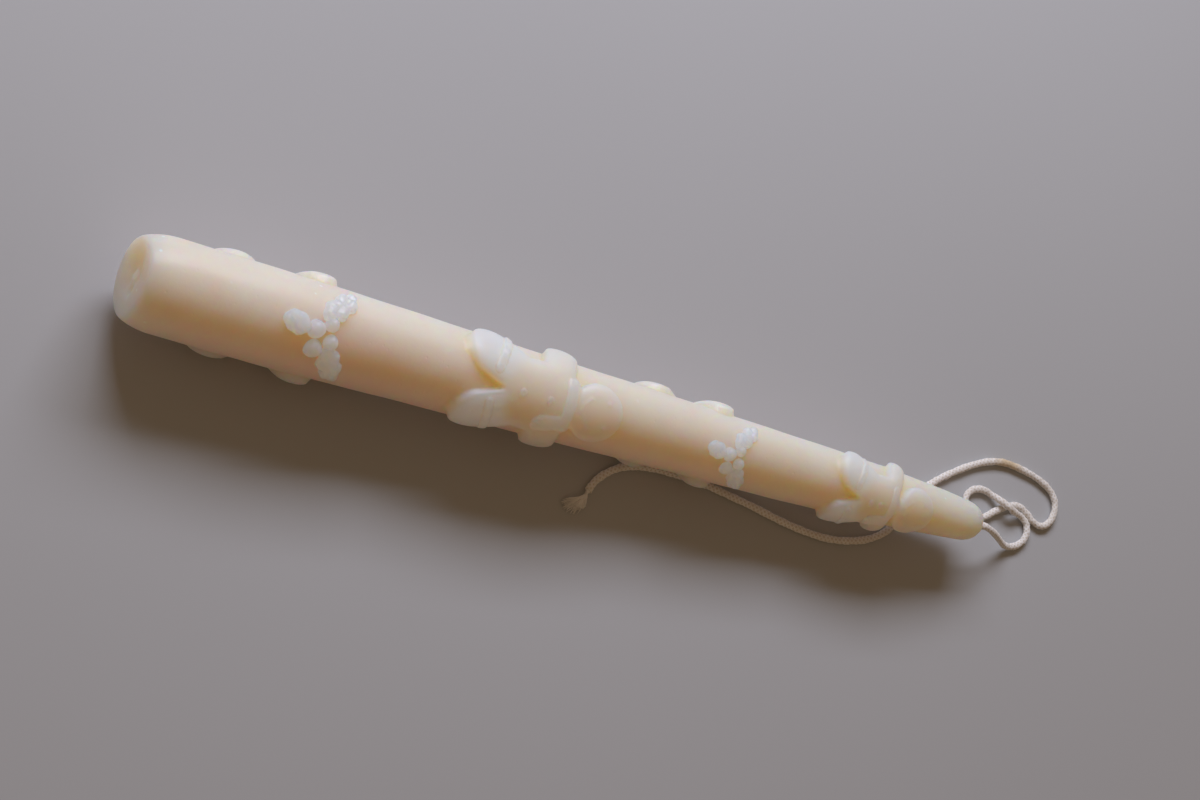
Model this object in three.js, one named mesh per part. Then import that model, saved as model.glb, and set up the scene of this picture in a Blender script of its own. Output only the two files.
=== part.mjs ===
// Moulded taper candle lying on its side: a wax taper cast round a cotton wick, with gingerbread
// figures and holly sprigs in raised wax, and a long loose wick that loops beside the tip.
// Millimetres. +X runs from the base end to the tip, +Z is up, and z = 0 is what the candle lies on.
import * as THREE from "three";

// Taper
const candleLength = 247;
const baseRadius = 11.3;
const endFaceRadius = 9.5; // the flat rim's outer edge, where the rounding of the base end starts
const endRoundLength = 8;
const straightLength = 35; // the part that stands in a holder
const evenLoss = 4.0; // radius lost evenly from the straight part to the tip
const shoulderLoss = 2.5; // further radius lost in the shoulder before the tip
const shoulderSharpness = 10.5;
const noseLength = 4.6;
const tipFaceRadius = 2.3;
const dishRadius = 6.6; // the hollow that the cooling wax leaves in the base end
const dishDepth = 1.6;

// Wick
const wickRadius = 0.9;
const wickBoreClearance = 0.3;
const wickStandsOut = 1.2; // how far the cast-in wick stands out of the tip
const wickShowsInDish = 0.5;
const frayLength = 5.8;
const frayWidth = 6.6;
const frayThickness = 1.4;

// Raised wax
const seatGap = 0.25; // between a raised piece and what carries it
const biscuitThickness = 2.0;
const scarfThickness = 0.45;
const cuffThickness = 0.4;
const buttonHeight = 0.6;
const leafThickness = 1.45;
const berryHeight = 2.1;
const trimInset = 0.35; // how far the trim on a figure stays inside the figure's outline
const roundedEdge = 2.4; // width of the rounding round a figure's edge
const edgeShare = 0.35; // height of the side wall below that rounding, as a share of the thickness

// One gingerbread figure as it is drawn, feet towards the base end. Places are [along, across] from
// the point where the legs part, on the unrolled surface.
const hip = { place: [2.8, 4.7], radius: 5.4 };
const foot = { place: [-4.1, 8.5], radius: 5.6 };
const torsoStart = { place: [8.9, 0], radius: 8.8 };
const torsoEnd = { place: [13.6, 0], radius: 8.6 };
const shoulder = { place: [14.8, 7.0], radius: 4.6 };
const hand = { place: [17.0, 12.8], radius: 4.4 };
const neck = { place: [18.8, 4.6], radius: 2.3 };
const head = { place: [26.8, 0], radius: 7.4 };
const scarfBand = { place: [18.4, 4.5], radius: 1.65 };
const scarfTailRoot = { place: [16.6, -4.2], radius: 1.8 };
const scarfTailEnd = { place: [12.0, -5.2], radius: 2.0 };
const cuffInner = { place: [-2.7, 3.6], radius: 1.15 };
const cuffOuter = { place: [0.5, 11.0], radius: 1.15 };
const buttonPlaces = [5.0, 12.6];
const buttonRadius = 1.0;

// Where the figures are on the taper, and their size as a share of the drawing. Turn is the angle
// round the axis from the front line.
const backFigure = { name: "gingerbread_1", partsAt: 28.4, turn: 180, along: 1.0, across: 1.1 };
const frontFigure = { name: "gingerbread_2", partsAt: 92.0, turn: -2, along: 1.0, across: 1.0 };
const farBackFigure = { name: "gingerbread_3", partsAt: 144.4, turn: 173, along: 0.88, across: 0.95 };
const farFrontFigure = { name: "gingerbread_4", partsAt: 201.4, turn: -15, along: 0.7, across: 0.8 };
const shortBody = { neckBack: 3.4, armShare: 0.82, headShare: 1.1 }; // the tip's figure has a larger head
const usualBody = { neckBack: 0, armShare: 1, headShare: 1 };
const figures = [backFigure, frontFigure, farBackFigure, farFrontFigure];
const restingFigures = [backFigure, farBackFigure];

// One holly sprig as it is drawn: places are [along, across] from its first berry.
const middleBerry = { place: [0.5, 0.1], radius: 2.2 };
const sideBerry = { place: [1.2, -4.5], radius: 2.15 };
const smallSideBerry = { place: [5.0, -2.0], radius: 1.5 };
const smallFarBerry = { place: [4.3, 1.9], radius: 1.45 };
const berries = [middleBerry, sideBerry, smallSideBerry, smallFarBerry];
const lowLeaf = { name: "leaf_low", root: [-3.9, 0.4], tip: [-7.2, 0.9], width: 5.4 };
const sideLeaf = { name: "leaf_side", root: [5.9, -5.7], tip: [8.7, -10.0], width: 5.4 };
const farLeaf = { name: "leaf_far", root: [4.8, 5.4], tip: [9.0, 9.0], width: 4.8 };
const leaves = [lowLeaf, sideLeaf, farLeaf];
const leafLobes = [
  { along: 0.0, side: 0, share: 0.34 },
  { along: 0.4, side: 0.2, share: 0.32 },
  { along: 0.4, side: -0.2, share: 0.32 },
  { along: 0.8, side: 0.14, share: 0.3 },
  { along: 0.8, side: -0.14, share: 0.3 },
];
const frontSprig = { name: "sprig_1", firstBerryAt: 41.2, across: 0.3, turn: 0, size: 1.0 };
const backSprig = { name: "sprig_2", firstBerryAt: 105.0, across: 0, turn: 179, size: 0.9 };
const farFrontSprig = { name: "sprig_3", firstBerryAt: 159.3, across: -0.6, turn: -1, size: 0.8 };
const farBackSprig = { name: "sprig_4", firstBerryAt: 209.0, across: 0, turn: 168, size: 0.68 };
const sprigs = [frontSprig, backSprig, farFrontSprig, farBackSprig];

// How it lies, and how finely it is faceted
const rollDegrees = 18; // the front line is rolled this far from straight up, towards -Y
const taperSides = 40;
const figureCell = 2.3;
const trimCell = 1.4;
const leafCell = 1.3;
const domeSides = 9;
const cordSides = 8;
const cordSteps = 74;
const blendKeep = 0.14; // keeps a facet's corner this share of a cell away from the next corner

const waxCream = new THREE.MeshStandardMaterial({ color: 0xe6d3b4, roughness: 0.42, metalness: 0 });
const waxMilky = new THREE.MeshStandardMaterial({ color: 0xe9e0d6, roughness: 0.38, metalness: 0 });
const cotton = new THREE.MeshStandardMaterial({ color: 0xe4ddd0, roughness: 0.95, metalness: 0 });

const candle = new THREE.Group(); // the candle in its own axis, +X along it and +Z its front line
const lying = new THREE.Group(); // the same, rolled and tilted as it lies
lying.add(candle);
const model = new THREE.Group();
model.add(lying);

// Radius of the taper at a station along its axis

function taperRadius(x) {
  const along = THREE.MathUtils.clamp(x / candleLength, 0, 1);
  const straight = straightLength / candleLength;
  const even = Math.max(0, (along - straight) / (1 - straight));
  return baseRadius - evenLoss * even - shoulderLoss * Math.pow(along, shoulderSharpness);
}

function outerRadius(x) {
  const noseStart = candleLength - noseLength;
  const radius = taperRadius(x);
  if (x < endRoundLength) {
    const share = 1 - x / endRoundLength;
    return radius - (baseRadius - endFaceRadius) * share * share;
  }
  if (x > noseStart) {
    const share = Math.min(1, (x - noseStart) / noseLength);
    return tipFaceRadius + (radius - tipFaceRadius) * Math.sqrt(1 - share * share);
  }
  return radius;
}

// Closed geometry with its faces pointing out

function signedVolume(geometry) {
  const spot = geometry.getAttribute("position");
  const index = geometry.getIndex();
  const corner = [new THREE.Vector3(), new THREE.Vector3(), new THREE.Vector3()];
  let volume = 0;
  const count = index ? index.count : spot.count;
  for (let i = 0; i < count; i += 3) {
    for (let k = 0; k < 3; k += 1) {
      corner[k].fromBufferAttribute(spot, index ? index.getX(i + k) : i + k);
    }
    volume += corner[0].dot(corner[1].clone().cross(corner[2])) / 6;
  }
  return volume;
}

function facingOut(geometry) {
  if (signedVolume(geometry) > 0) return geometry;
  const index = geometry.getIndex();
  for (let i = 0; i < index.count; i += 3) {
    const second = index.getX(i + 1);
    index.setX(i + 1, index.getX(i + 2));
    index.setX(i + 2, second);
  }
  return geometry;
}

function addPiece(parent, name, geometry, material) {
  const outward = facingOut(geometry);
  outward.computeVertexNormals();
  const mesh = new THREE.Mesh(outward, material);
  mesh.name = name;
  parent.add(mesh);
  return mesh;
}

function turnedOnAxis(profile, sides) {
  const points = profile.map(([x, radius]) => new THREE.Vector2(radius, x));
  const geometry = new THREE.LatheGeometry(points, sides);
  geometry.rotateZ(-Math.PI / 2);
  return geometry;
}

// Wax taper with its bore for the wick

function roundSteps(count, shape) {
  return Array.from({ length: count }, (unused, i) => shape(i / count));
}

function taperProfile() {
  const bore = wickRadius + wickBoreClearance;
  const noseStart = candleLength - noseLength;
  const dish = roundSteps(3, (t) => [
    dishDepth * (1 - t * t),
    bore + (dishRadius - bore) * Math.sqrt(t),
  ]);
  const rounding = roundSteps(4, (t) => [endRoundLength * t, outerRadius(endRoundLength * t)]);
  const long = roundSteps(20, (t) => {
    const x = endRoundLength + (noseStart - endRoundLength) * t;
    return [x, outerRadius(x)];
  });
  const nose = roundSteps(6, (t) => {
    const x = noseStart + noseLength * Math.sin((t * Math.PI) / 2);
    return [x, outerRadius(x)];
  });
  const tip = [
    [candleLength, tipFaceRadius],
    [candleLength, bore],
  ];
  return [...dish, [0, dishRadius], ...rounding, ...long, ...nose, ...tip, [dishDepth, bore]];
}

addPiece(candle, "taper_body", turnedOnAxis(taperProfile(), taperSides), waxCream);

// Cast-in wick, from the dish in the base end to just past the tip

const coreStart = dishDepth - wickShowsInDish;
const coreEnd = candleLength + wickStandsOut;
const coreProfile = [[coreStart, 0], [coreStart, wickRadius], [coreEnd, wickRadius], [coreEnd, 0]];
addPiece(candle, "wick_core", turnedOnAxis(coreProfile, cordSides), cotton);

// Outlines on the unrolled surface: a run of rounded strokes, and how deep a point lies inside them

function depthInStroke(stroke, x, a) {
  const [x0, a0] = stroke.from.place;
  const [x1, a1] = stroke.to.place;
  const dx = x1 - x0;
  const da = a1 - a0;
  const span = dx * dx + da * da;
  const t = span > 0 ? THREE.MathUtils.clamp(((x - x0) * dx + (a - a0) * da) / span, 0, 1) : 0;
  const radius = stroke.from.radius + (stroke.to.radius - stroke.from.radius) * t;
  return radius - Math.hypot(x - x0 - dx * t, a - a0 - da * t);
}

function depthInside(strokes, x, a) {
  return Math.max(...strokes.map((stroke) => depthInStroke(stroke, x, a)));
}

function boundsOf(strokes) {
  const ends = strokes.flatMap((stroke) => [stroke.from, stroke.to]);
  const low = [0, 1].map((k) => Math.min(...ends.map((end) => end.place[k] - end.radius)));
  const high = [0, 1].map((k) => Math.max(...ends.map((end) => end.place[k] + end.radius)));
  return { low, high };
}

function mirrored(end) {
  return { place: [end.place[0], -end.place[1]], radius: end.radius };
}

function domed(depth, width) {
  const share = 1 - Math.min(Math.max(depth, 0) / width, 1);
  return edgeShare + (1 - edgeShare) * Math.sqrt(1 - share * share);
}

// A piece of raised wax: the region where depth is over zero, between two height functions, wrapped
// round the taper. Cells that the outline crosses are cut where the depth passes through zero.

function reliefGeometry({ depth, bounds, cell, low, high, wrap }) {
  const steps = [0, 1].map((k) => Math.ceil((bounds.high[k] - bounds.low[k]) / cell) + 2);
  const nodes = new Map();
  const node = (i, j) => {
    const key = `${i},${j}`;
    if (!nodes.has(key)) {
      const x = bounds.low[0] + (i - 0.5) * cell;
      const a = bounds.low[1] + (j - 0.5) * cell;
      nodes.set(key, { key, x, a, inside: depth(x, a) });
    }
    return nodes.get(key);
  };
  const cuts = new Map();
  const cut = (p, q) => {
    const [from, to] = p.key < q.key ? [p, q] : [q, p];
    const key = `${from.key}:${to.key}`;
    if (!cuts.has(key)) {
      const raw = from.inside / (from.inside - to.inside);
      const t = THREE.MathUtils.clamp(raw, blendKeep, 1 - blendKeep);
      cuts.set(key, { key, x: from.x + (to.x - from.x) * t, a: from.a + (to.a - from.a) * t });
    }
    return cuts.get(key);
  };
  const spots = [];
  const places = new Map();
  const corner = (point, level) => {
    const key = `${point.key}/${level}`;
    if (!places.has(key)) {
      places.set(key, spots.length / 3);
      const height = level ? high(point.x, point.a) : low(point.x, point.a);
      spots.push(...wrap(point.x, point.a, height).toArray());
    }
    return places.get(key);
  };
  const faces = [];
  const edges = new Map();
  for (let i = 0; i < steps[0]; i += 1) {
    for (let j = 0; j < steps[1]; j += 1) {
      const around = [node(i, j), node(i + 1, j), node(i + 1, j + 1), node(i, j + 1)];
      const outline = around.flatMap((here, k) => {
        const next = around[(k + 1) % 4];
        const crossed = here.inside > 0 !== next.inside > 0;
        return [...(here.inside > 0 ? [here] : []), ...(crossed ? [cut(here, next)] : [])];
      });
      outline.forEach((point, k) => {
        const next = outline[(k + 1) % outline.length];
        edges.set(`${point.key}>${next.key}`, [point, next]);
      });
      for (let k = 2; k < outline.length; k += 1) {
        const fan = [outline[0], outline[k - 1], outline[k]];
        faces.push(...fan.map((point) => corner(point, 1)));
        faces.push(...fan.reverse().map((point) => corner(point, 0)));
      }
    }
  }
  for (const [from, to] of edges.values()) {
    if (edges.has(`${to.key}>${from.key}`)) continue;
    const wall = [corner(from, 0), corner(to, 0), corner(to, 1), corner(from, 1)];
    faces.push(wall[0], wall[1], wall[2], wall[0], wall[2], wall[3]);
  }
  const geometry = new THREE.BufferGeometry();
  geometry.setAttribute("position", new THREE.Float32BufferAttribute(spots, 3));
  geometry.setIndex(faces);
  return geometry;
}

function wrapOnTaper(startX, turnDegrees) {
  const turn = THREE.MathUtils.degToRad(turnDegrees);
  const unrollRadius = outerRadius(startX);
  return (x, a, height) => {
    const angle = turn + a / unrollRadius;
    const radius = outerRadius(startX + x) + height;
    return new THREE.Vector3(startX + x, radius * Math.sin(angle), radius * Math.cos(angle));
  };
}

// Small round dome, turned on its own axis and then wrapped like the rest

function domeGeometry(place, radius, low, height, wrap) {
  const profile = [
    [0, 0],
    [0.92, 0],
    [1, 0.25],
    [0.8, 0.75],
    [0.42, 0.96],
    [0, 1],
  ];
  const points = profile.map(([share, up]) => new THREE.Vector2(share * radius, up * height));
  const geometry = new THREE.LatheGeometry(points, domeSides);
  const spot = geometry.getAttribute("position");
  for (let i = 0; i < spot.count; i += 1) {
    const x = place[0] + spot.getX(i);
    const a = place[1] + spot.getZ(i);
    const at = wrap(x, a, low(x, a) + spot.getY(i));
    spot.setXYZ(i, at.x, at.y, at.z);
  }
  return geometry;
}

// Gingerbread figures with their scarf, cuffs and buttons

function scaled(end, figure, share = 1, back = 0) {
  const [along, across] = end.place;
  return {
    place: [(along - back) * figure.along, across * figure.across],
    radius: end.radius * figure.across * share,
  };
}

function bodyOf(figure) {
  return figure === farFrontFigure ? shortBody : usualBody;
}

function figureStrokes(figure) {
  const { neckBack, armShare, headShare } = bodyOf(figure);
  const at = (end, share, back) => scaled(end, figure, share, back);
  const neckEnd = at(neck, 1, neckBack);
  const limbs = [
    [at(hip), at(foot)],
    [at(shoulder, armShare), at(hand, armShare)],
  ];
  return [
    { from: at(torsoStart), to: at(torsoEnd, 1, neckBack) },
    { from: neckEnd, to: mirrored(neckEnd) },
    { from: at(head, headShare), to: at(head, headShare) },
    ...limbs.map(([from, to]) => ({ from, to })),
    ...limbs.map(([from, to]) => ({ from: mirrored(from), to: mirrored(to) })),
  ];
}

function biscuitHeight(strokes, figure) {
  const width = roundedEdge * figure.across;
  return (x, a) => seatGap + biscuitThickness * domed(depthInside(strokes, x, a), width);
}

function addFigure(figure) {
  const strokes = figureStrokes(figure);
  const wrap = wrapOnTaper(figure.partsAt, figure.turn);
  const surface = biscuitHeight(strokes, figure);
  const biscuit = reliefGeometry({
    depth: (x, a) => depthInside(strokes, x, a),
    bounds: boundsOf(strokes),
    cell: figureCell * figure.across,
    low: () => seatGap,
    high: surface,
    wrap,
  });
  addPiece(candle, figure.name, biscuit, waxCream);

  const trim = (name, parts, thickness) => {
    const geometry = reliefGeometry({
      depth: (x, a) => Math.min(depthInside(parts, x, a), depthInside(strokes, x, a) - trimInset),
      bounds: boundsOf(parts),
      cell: trimCell * figure.across,
      low: (x, a) => surface(x, a) + seatGap,
      high: (x, a) => surface(x, a) + seatGap + thickness,
      wrap,
    });
    addPiece(candle, name, geometry, waxMilky);
  };
  const number = figure.name.split("_")[1];
  const { neckBack } = bodyOf(figure);
  const atNeck = (end) => scaled(end, figure, 1, neckBack);
  const band = atNeck(scarfBand);
  const tail = { from: atNeck(scarfTailRoot), to: atNeck(scarfTailEnd) };
  trim(`scarf_${number}`, [{ from: band, to: mirrored(band) }, tail], scarfThickness);
  const cuff = { from: scaled(cuffInner, figure), to: scaled(cuffOuter, figure) };
  trim(`cuff_${number}_a`, [cuff], cuffThickness);
  trim(`cuff_${number}_b`, [{ from: mirrored(cuff.from), to: mirrored(cuff.to) }], cuffThickness);

  buttonPlaces.forEach((along, i) => {
    const seat = (x, a) => surface(x, a) + seatGap;
    const button = scaled({ place: [along, 0], radius: buttonRadius }, figure, 1, i * neckBack);
    const dome = domeGeometry(button.place, button.radius, seat, buttonHeight, wrap);
    addPiece(candle, `button_${number}_${i + 1}`, dome, waxMilky);
  });
}

figures.forEach(addFigure);

// Holly sprigs: three lobed leaves round four berries

function leafStrokes(leaf, scale) {
  const along = new THREE.Vector2(leaf.tip[0] - leaf.root[0], leaf.tip[1] - leaf.root[1]);
  const side = new THREE.Vector2(-along.y, along.x).normalize().multiplyScalar(leaf.width);
  return leafLobes.map((lobe) => {
    const place = [
      (leaf.root[0] + along.x * lobe.along + side.x * lobe.side) * scale,
      (leaf.root[1] + along.y * lobe.along + side.y * lobe.side) * scale,
    ];
    const end = { place, radius: leaf.width * lobe.share * scale };
    return { from: end, to: end };
  });
}

function addSprig(sprig) {
  const scale = sprig.size;
  const turned = wrapOnTaper(sprig.firstBerryAt, sprig.turn);
  const wrap = (x, a, height) => turned(x, a + sprig.across, height);
  leaves.forEach((leaf) => {
    const strokes = leafStrokes(leaf, scale);
    const geometry = reliefGeometry({
      depth: (x, a) => depthInside(strokes, x, a),
      bounds: boundsOf(strokes),
      cell: leafCell * scale,
      low: () => seatGap,
      high: (x, a) => {
        const width = leaf.width * scale * 0.3;
        return seatGap + leafThickness * domed(depthInside(strokes, x, a), width);
      },
      wrap,
    });
    addPiece(candle, `${sprig.name}_${leaf.name}`, geometry, waxMilky);
  });
  berries.forEach((berry, i) => {
    const place = berry.place.map((value) => value * scale);
    const seat = () => seatGap;
    const dome = domeGeometry(place, berry.radius * scale, seat, berryHeight * scale, wrap);
    addPiece(candle, `${sprig.name}_berry_${i + 1}`, dome, waxMilky);
  });
}

sprigs.forEach(addSprig);

// The candle lies on the scarves of its two back figures, so its axis falls towards the tip

function restingStation(figure) {
  return figure.partsAt + scaled(scarfBand, figure).place[0];
}

function restingRise(x) {
  return outerRadius(x) + seatGap + biscuitThickness + seatGap + scarfThickness;
}

const [nearStation, farStation] = restingFigures.map(restingStation);
const fall = restingRise(nearStation) - restingRise(farStation);
candle.rotation.x = THREE.MathUtils.degToRad(rollDegrees);
lying.rotation.y = Math.atan(fall / (farStation - nearStation));
model.updateMatrixWorld(true);
const box = new THREE.Box3().setFromObject(model, true);
const middle = box.getCenter(new THREE.Vector3());
lying.position.set(-middle.x, -middle.y, -box.min.z);
model.updateMatrixWorld(true);

// Loose wick: out of the tip, two small loops and a big one on the surface, back under the taper
// near its tip, along its near side and under its edge, to a frayed end

const exitInAxis = new THREE.Vector3(coreEnd + seatGap, 0, 0);
const wickExit = exitInAxis.applyMatrix4(candle.matrixWorld);
const wickPoints = [
  [126.3, -0.6, 10.0],
  [128.7, -0.8, 9.1],
  [132.3, -1.0, 6.9],
  [135.8, -1.4, 4.5],
  [139.2, -1.7, 2.3],
  [142.3, -1.4, 1.2],
  [145.2, -0.1, 1.0],
  [147.2, 2.0, 1.0],
  [147.9, 4.3, 1.0],
  [147.3, 6.4, 1.0],
  [145.2, 7.8, 1.2],
  [142.0, 8.1, 2.4],
  [139.4, 8.8, 3.2],
  [137.0, 10.1, 2.4],
  [134.6, 11.4, 1.2],
  [131.8, 12.2, 1.0],
  [128.5, 11.6, 1.0],
  [126.3, 9.7, 1.0],
  [125.7, 6.9, 1.0],
  [127.1, 4.5, 1.0],
  [129.9, 3.8, 1.0],
  [132.8, 4.9, 1.0],
  [136.2, 7.2, 1.0],
  [139.3, 9.0, 0.95],
  [142.0, 10.2, 1.0],
  [144.8, 10.4, 1.0],
  [147.4, 9.1, 1.0],
  [149.9, 7.3, 1.0],
  [152.9, 6.8, 1.0],
  [155.6, 8.6, 1.0],
  [157.0, 11.7, 1.0],
  [156.9, 14.8, 1.0],
  [155.0, 17.4, 1.0],
  [151.4, 19.3, 1.0],
  [147.0, 20.5, 1.0],
  [142.5, 21.2, 1.0],
  [137.8, 21.4, 1.0],
  [133.0, 20.5, 1.0],
  [127.4, 18.2, 1.0],
  [121.4, 14.9, 1.0],
  [115.3, 10.9, 1.0],
  [109.0, 5.4, 1.0],
  [104.4, -1.0, 1.0],
  [100.6, -6.2, 1.0],
  [94.6, -9.9, 1.0],
  [87.3, -12.0, 1.0],
  [80.0, -12.7, 1.0],
  [72.0, -12.2, 1.0],
  [64.5, -11.1, 1.0],
  [57.9, -9.8, 1.0],
  [51.0, -8.7, 1.0],
  [43.0, -7.5, 1.0],
  [34.0, -6.9, 1.0],
  [25.1, -7.0, 1.0],
  [17.6, -8.5, 1.0],
  [12.6, -11.3, 1.0],
  [9.5, -14.3, 1.0],
  [7.9, -17.0, 1.0],
].map(([x, y, z]) => new THREE.Vector3(x, y, z));
const wickPath = new THREE.CatmullRomCurve3([wickExit, ...wickPoints]);
wickPath.arcLengthDivisions = 2000;

const roundSection = new THREE.Shape(
  Array.from({ length: cordSides }, (unused, i) => {
    const angle = ((i + 0.5) * 2 * Math.PI) / cordSides;
    return new THREE.Vector2(wickRadius * Math.cos(angle), wickRadius * Math.sin(angle));
  }),
);
const cordOptions = { steps: cordSteps, bevelEnabled: false, extrudePath: wickPath };
const cordTube = new THREE.ExtrudeGeometry(roundSection, cordOptions);

// The wick's frayed end, a flat fan of loose strands that starts just past the end of the cord

const cordEnd = wickPoints[wickPoints.length - 1];
const heading = wickPath.getTangent(1);
const frayOutline = [
  [0, -0.14],
  [0.35, -0.24],
  [0.72, -0.42],
  [0.88, -0.5],
  [1.0, -0.26],
  [0.97, 0.05],
  [1.0, 0.3],
  [0.84, 0.5],
  [0.66, 0.4],
  [0.35, 0.24],
  [0, 0.14],
].map(([along, across]) => new THREE.Vector2(along * frayLength, across * frayWidth));
const frayedFan = new THREE.ExtrudeGeometry(new THREE.Shape(frayOutline), {
  depth: frayThickness,
  bevelEnabled: false,
});
frayedFan.rotateZ(Math.atan2(heading.y, heading.x));
frayedFan.translate(
  cordEnd.x + heading.x * seatGap,
  cordEnd.y + heading.y * seatGap,
  cordEnd.z - wickRadius,
);

function addLoose(name, geometry) {
  geometry.computeVertexNormals();
  const mesh = new THREE.Mesh(geometry, cotton);
  mesh.name = name;
  model.add(mesh);
}

addLoose("wick_free", cordTube);
addLoose("wick_frayed_end", frayedFan);

export default model;
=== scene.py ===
# %% [markdown]
# # A moulded taper candle, dressed for the camera
#
# The imported CAD part gives the fixed frame: where every piece is and how big it may be. This lesson
# builds the looks over it: the wax as one cast skin with its raised figures, the milky trim, the
# plaited cotton wick, and the light that makes wax look like wax.
#
# Shapes are written in millimetres, and `MM` turns them into metres. How deep light goes and the
# window's sizes are in metres, because they are passed on as they stand.

# %% Load the frame
import math
from functools import partial
import bmesh
import bpy
import numpy as np
from mathutils import Matrix, Vector


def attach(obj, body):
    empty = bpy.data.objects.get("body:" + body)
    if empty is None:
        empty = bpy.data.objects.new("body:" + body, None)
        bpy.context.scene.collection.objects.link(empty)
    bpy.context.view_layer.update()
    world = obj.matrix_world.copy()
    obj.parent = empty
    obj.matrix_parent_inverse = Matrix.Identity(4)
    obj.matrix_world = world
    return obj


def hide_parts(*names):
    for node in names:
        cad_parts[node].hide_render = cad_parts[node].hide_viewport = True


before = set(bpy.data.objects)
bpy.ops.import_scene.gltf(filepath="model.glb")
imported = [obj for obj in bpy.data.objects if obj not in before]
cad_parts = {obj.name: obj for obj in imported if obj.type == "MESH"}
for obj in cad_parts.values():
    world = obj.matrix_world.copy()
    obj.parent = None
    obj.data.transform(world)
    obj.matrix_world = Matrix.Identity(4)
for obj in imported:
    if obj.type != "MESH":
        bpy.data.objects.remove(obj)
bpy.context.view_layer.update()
MM = 0.001
random = np.random.default_rng(7)
print("solids in the frame:", len(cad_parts))

# %% [markdown]
# ## Small helpers
#
# One function turns a written sRGB colour into the linear numbers that a shader wants. Another adds a
# node to a material and sets its sockets, so that a material reads as a short list. `repeats` gives a
# pattern's scale from a real size: how often that size fits into a metre.

# %% Colours and nodes
def linear(hex_colour):
    parts = [int(hex_colour[i:i + 2], 16) / 255 for i in (1, 3, 5)]
    flat = [p / 12.92 if p <= 0.04045 else ((p + 0.055) / 1.055) ** 2.4 for p in parts]
    return (*flat, 1.0)


def new_material(name):
    material = bpy.data.materials.new(name)
    material.use_nodes = True
    tree = material.node_tree
    return material, tree, tree.nodes["Principled BSDF"]


def add(tree, kind, inputs=None, stops=(), **settings):
    node = tree.nodes.new("ShaderNode" + kind)
    for name, value in settings.items():
        setattr(node, name, value)
    for name, value in (inputs or {}).items():
        if isinstance(value, bpy.types.NodeSocket):
            tree.links.new(value, node.inputs[name])
        else:
            node.inputs[name].default_value = value
    if stops:
        elements = node.color_ramp.elements
        while len(elements) < len(stops):
            elements.new(0.5)
        for element, (position, colour) in zip(elements, stops):
            element.position = position
            element.color = linear(colour)
    return node


def repeats(size):
    return 1 / (size * MM)


# %% Meshes
def mesh_object(name, points, faces, smooth=True):
    mesh = bpy.data.meshes.new(name)
    mesh.from_pydata([tuple(p) for p in points], [], faces)
    solid = bmesh.new()
    solid.from_mesh(mesh)
    if solid.calc_volume(signed=True) < 0:
        mesh.flip_normals()
    solid.free()
    mesh.update()
    if smooth:
        mesh.polygons.foreach_set("use_smooth", [True] * len(mesh.polygons))
    piece = bpy.data.objects.new(name, mesh)
    bpy.context.scene.collection.objects.link(piece)
    return piece


def write_attribute(piece, name, values):
    layer = piece.data.attributes.new(name, "FLOAT", "POINT")
    layer.data.foreach_set("value", np.asarray(values, np.float32).reshape(-1))


def say(piece, note=""):
    print(f"{piece.name}: {len(piece.data.polygons)} faces {note}")


# %% [markdown]
# ## The candle's own axes
#
# The candle lies at a slope, because it rests on its raised figures. All shapes are easier to write
# along its own axis. The cast-in wick runs there, so the centres of its two ends give the axis. `along`
# runs from the base end to the tip. `front` leans from straight up towards the camera, by `ROLL`, and
# `side` is square to both.

# %% Find the axis
CORE_START = 1.1
ROLL = math.radians(18)


def wick_core_ends():
    points = np.array([v.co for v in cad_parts["wick_core"].data.vertices])
    points = np.unique(np.round(points, 7), axis=0)
    middle = points[:, 0].mean()
    low = points[points[:, 0] < middle].mean(axis=0)
    high = points[points[:, 0] > middle].mean(axis=0)
    return low, high


core_low, core_high = wick_core_ends()
along = (core_high - core_low) / np.linalg.norm(core_high - core_low)
origin = core_low - along * CORE_START * MM
level_side = np.array([0.0, 1.0, 0.0])
upright = np.array([-along[2], 0.0, along[0]])
side = level_side * math.cos(ROLL) + upright * math.sin(ROLL)
front = -level_side * math.sin(ROLL) + upright * math.cos(ROLL)
print("the tip end slopes down by", round(-math.degrees(math.asin(along[2])), 2), "degrees")


def in_world(x, radius, angle):
    x, radius, angle = np.broadcast_arrays(x, radius, angle)
    across = radius * np.sin(angle)
    up = radius * np.cos(angle)
    place = x[..., None] * along + across[..., None] * side + up[..., None] * front
    return origin + place * MM


# %% [markdown]
# ## Camera
#
# The photograph looks 56 degrees down, from beside the base end towards the tip. A camera could be
# placed by eye, but one that is written relative to the candle's axis can be worked out from the seen
# ellipse of the base rim: a distance along the view, an angle `SWING` between the view and a plane
# square to the axis, and `RISE`, how high the view comes from. The camera looks `LIFT_PIXELS` above
# the place `STAND` on the axis, and `SLOPE` is how the axis lies in the picture.

# %% Set up the camera
FRAME_WIDE = 1200
FOCAL_PIXELS = 2833
SENSOR = 36.0
DISTANCE = 691.9
STAND = 124.8
SWING = math.radians(30.4)
RISE = math.radians(72)
LIFT_PIXELS = 13.0
SLOPE = (0.96054, 0.27814)
ROLL_VIEW = math.radians(-0.3)


def unit(vector):
    return vector / np.linalg.norm(vector)


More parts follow.
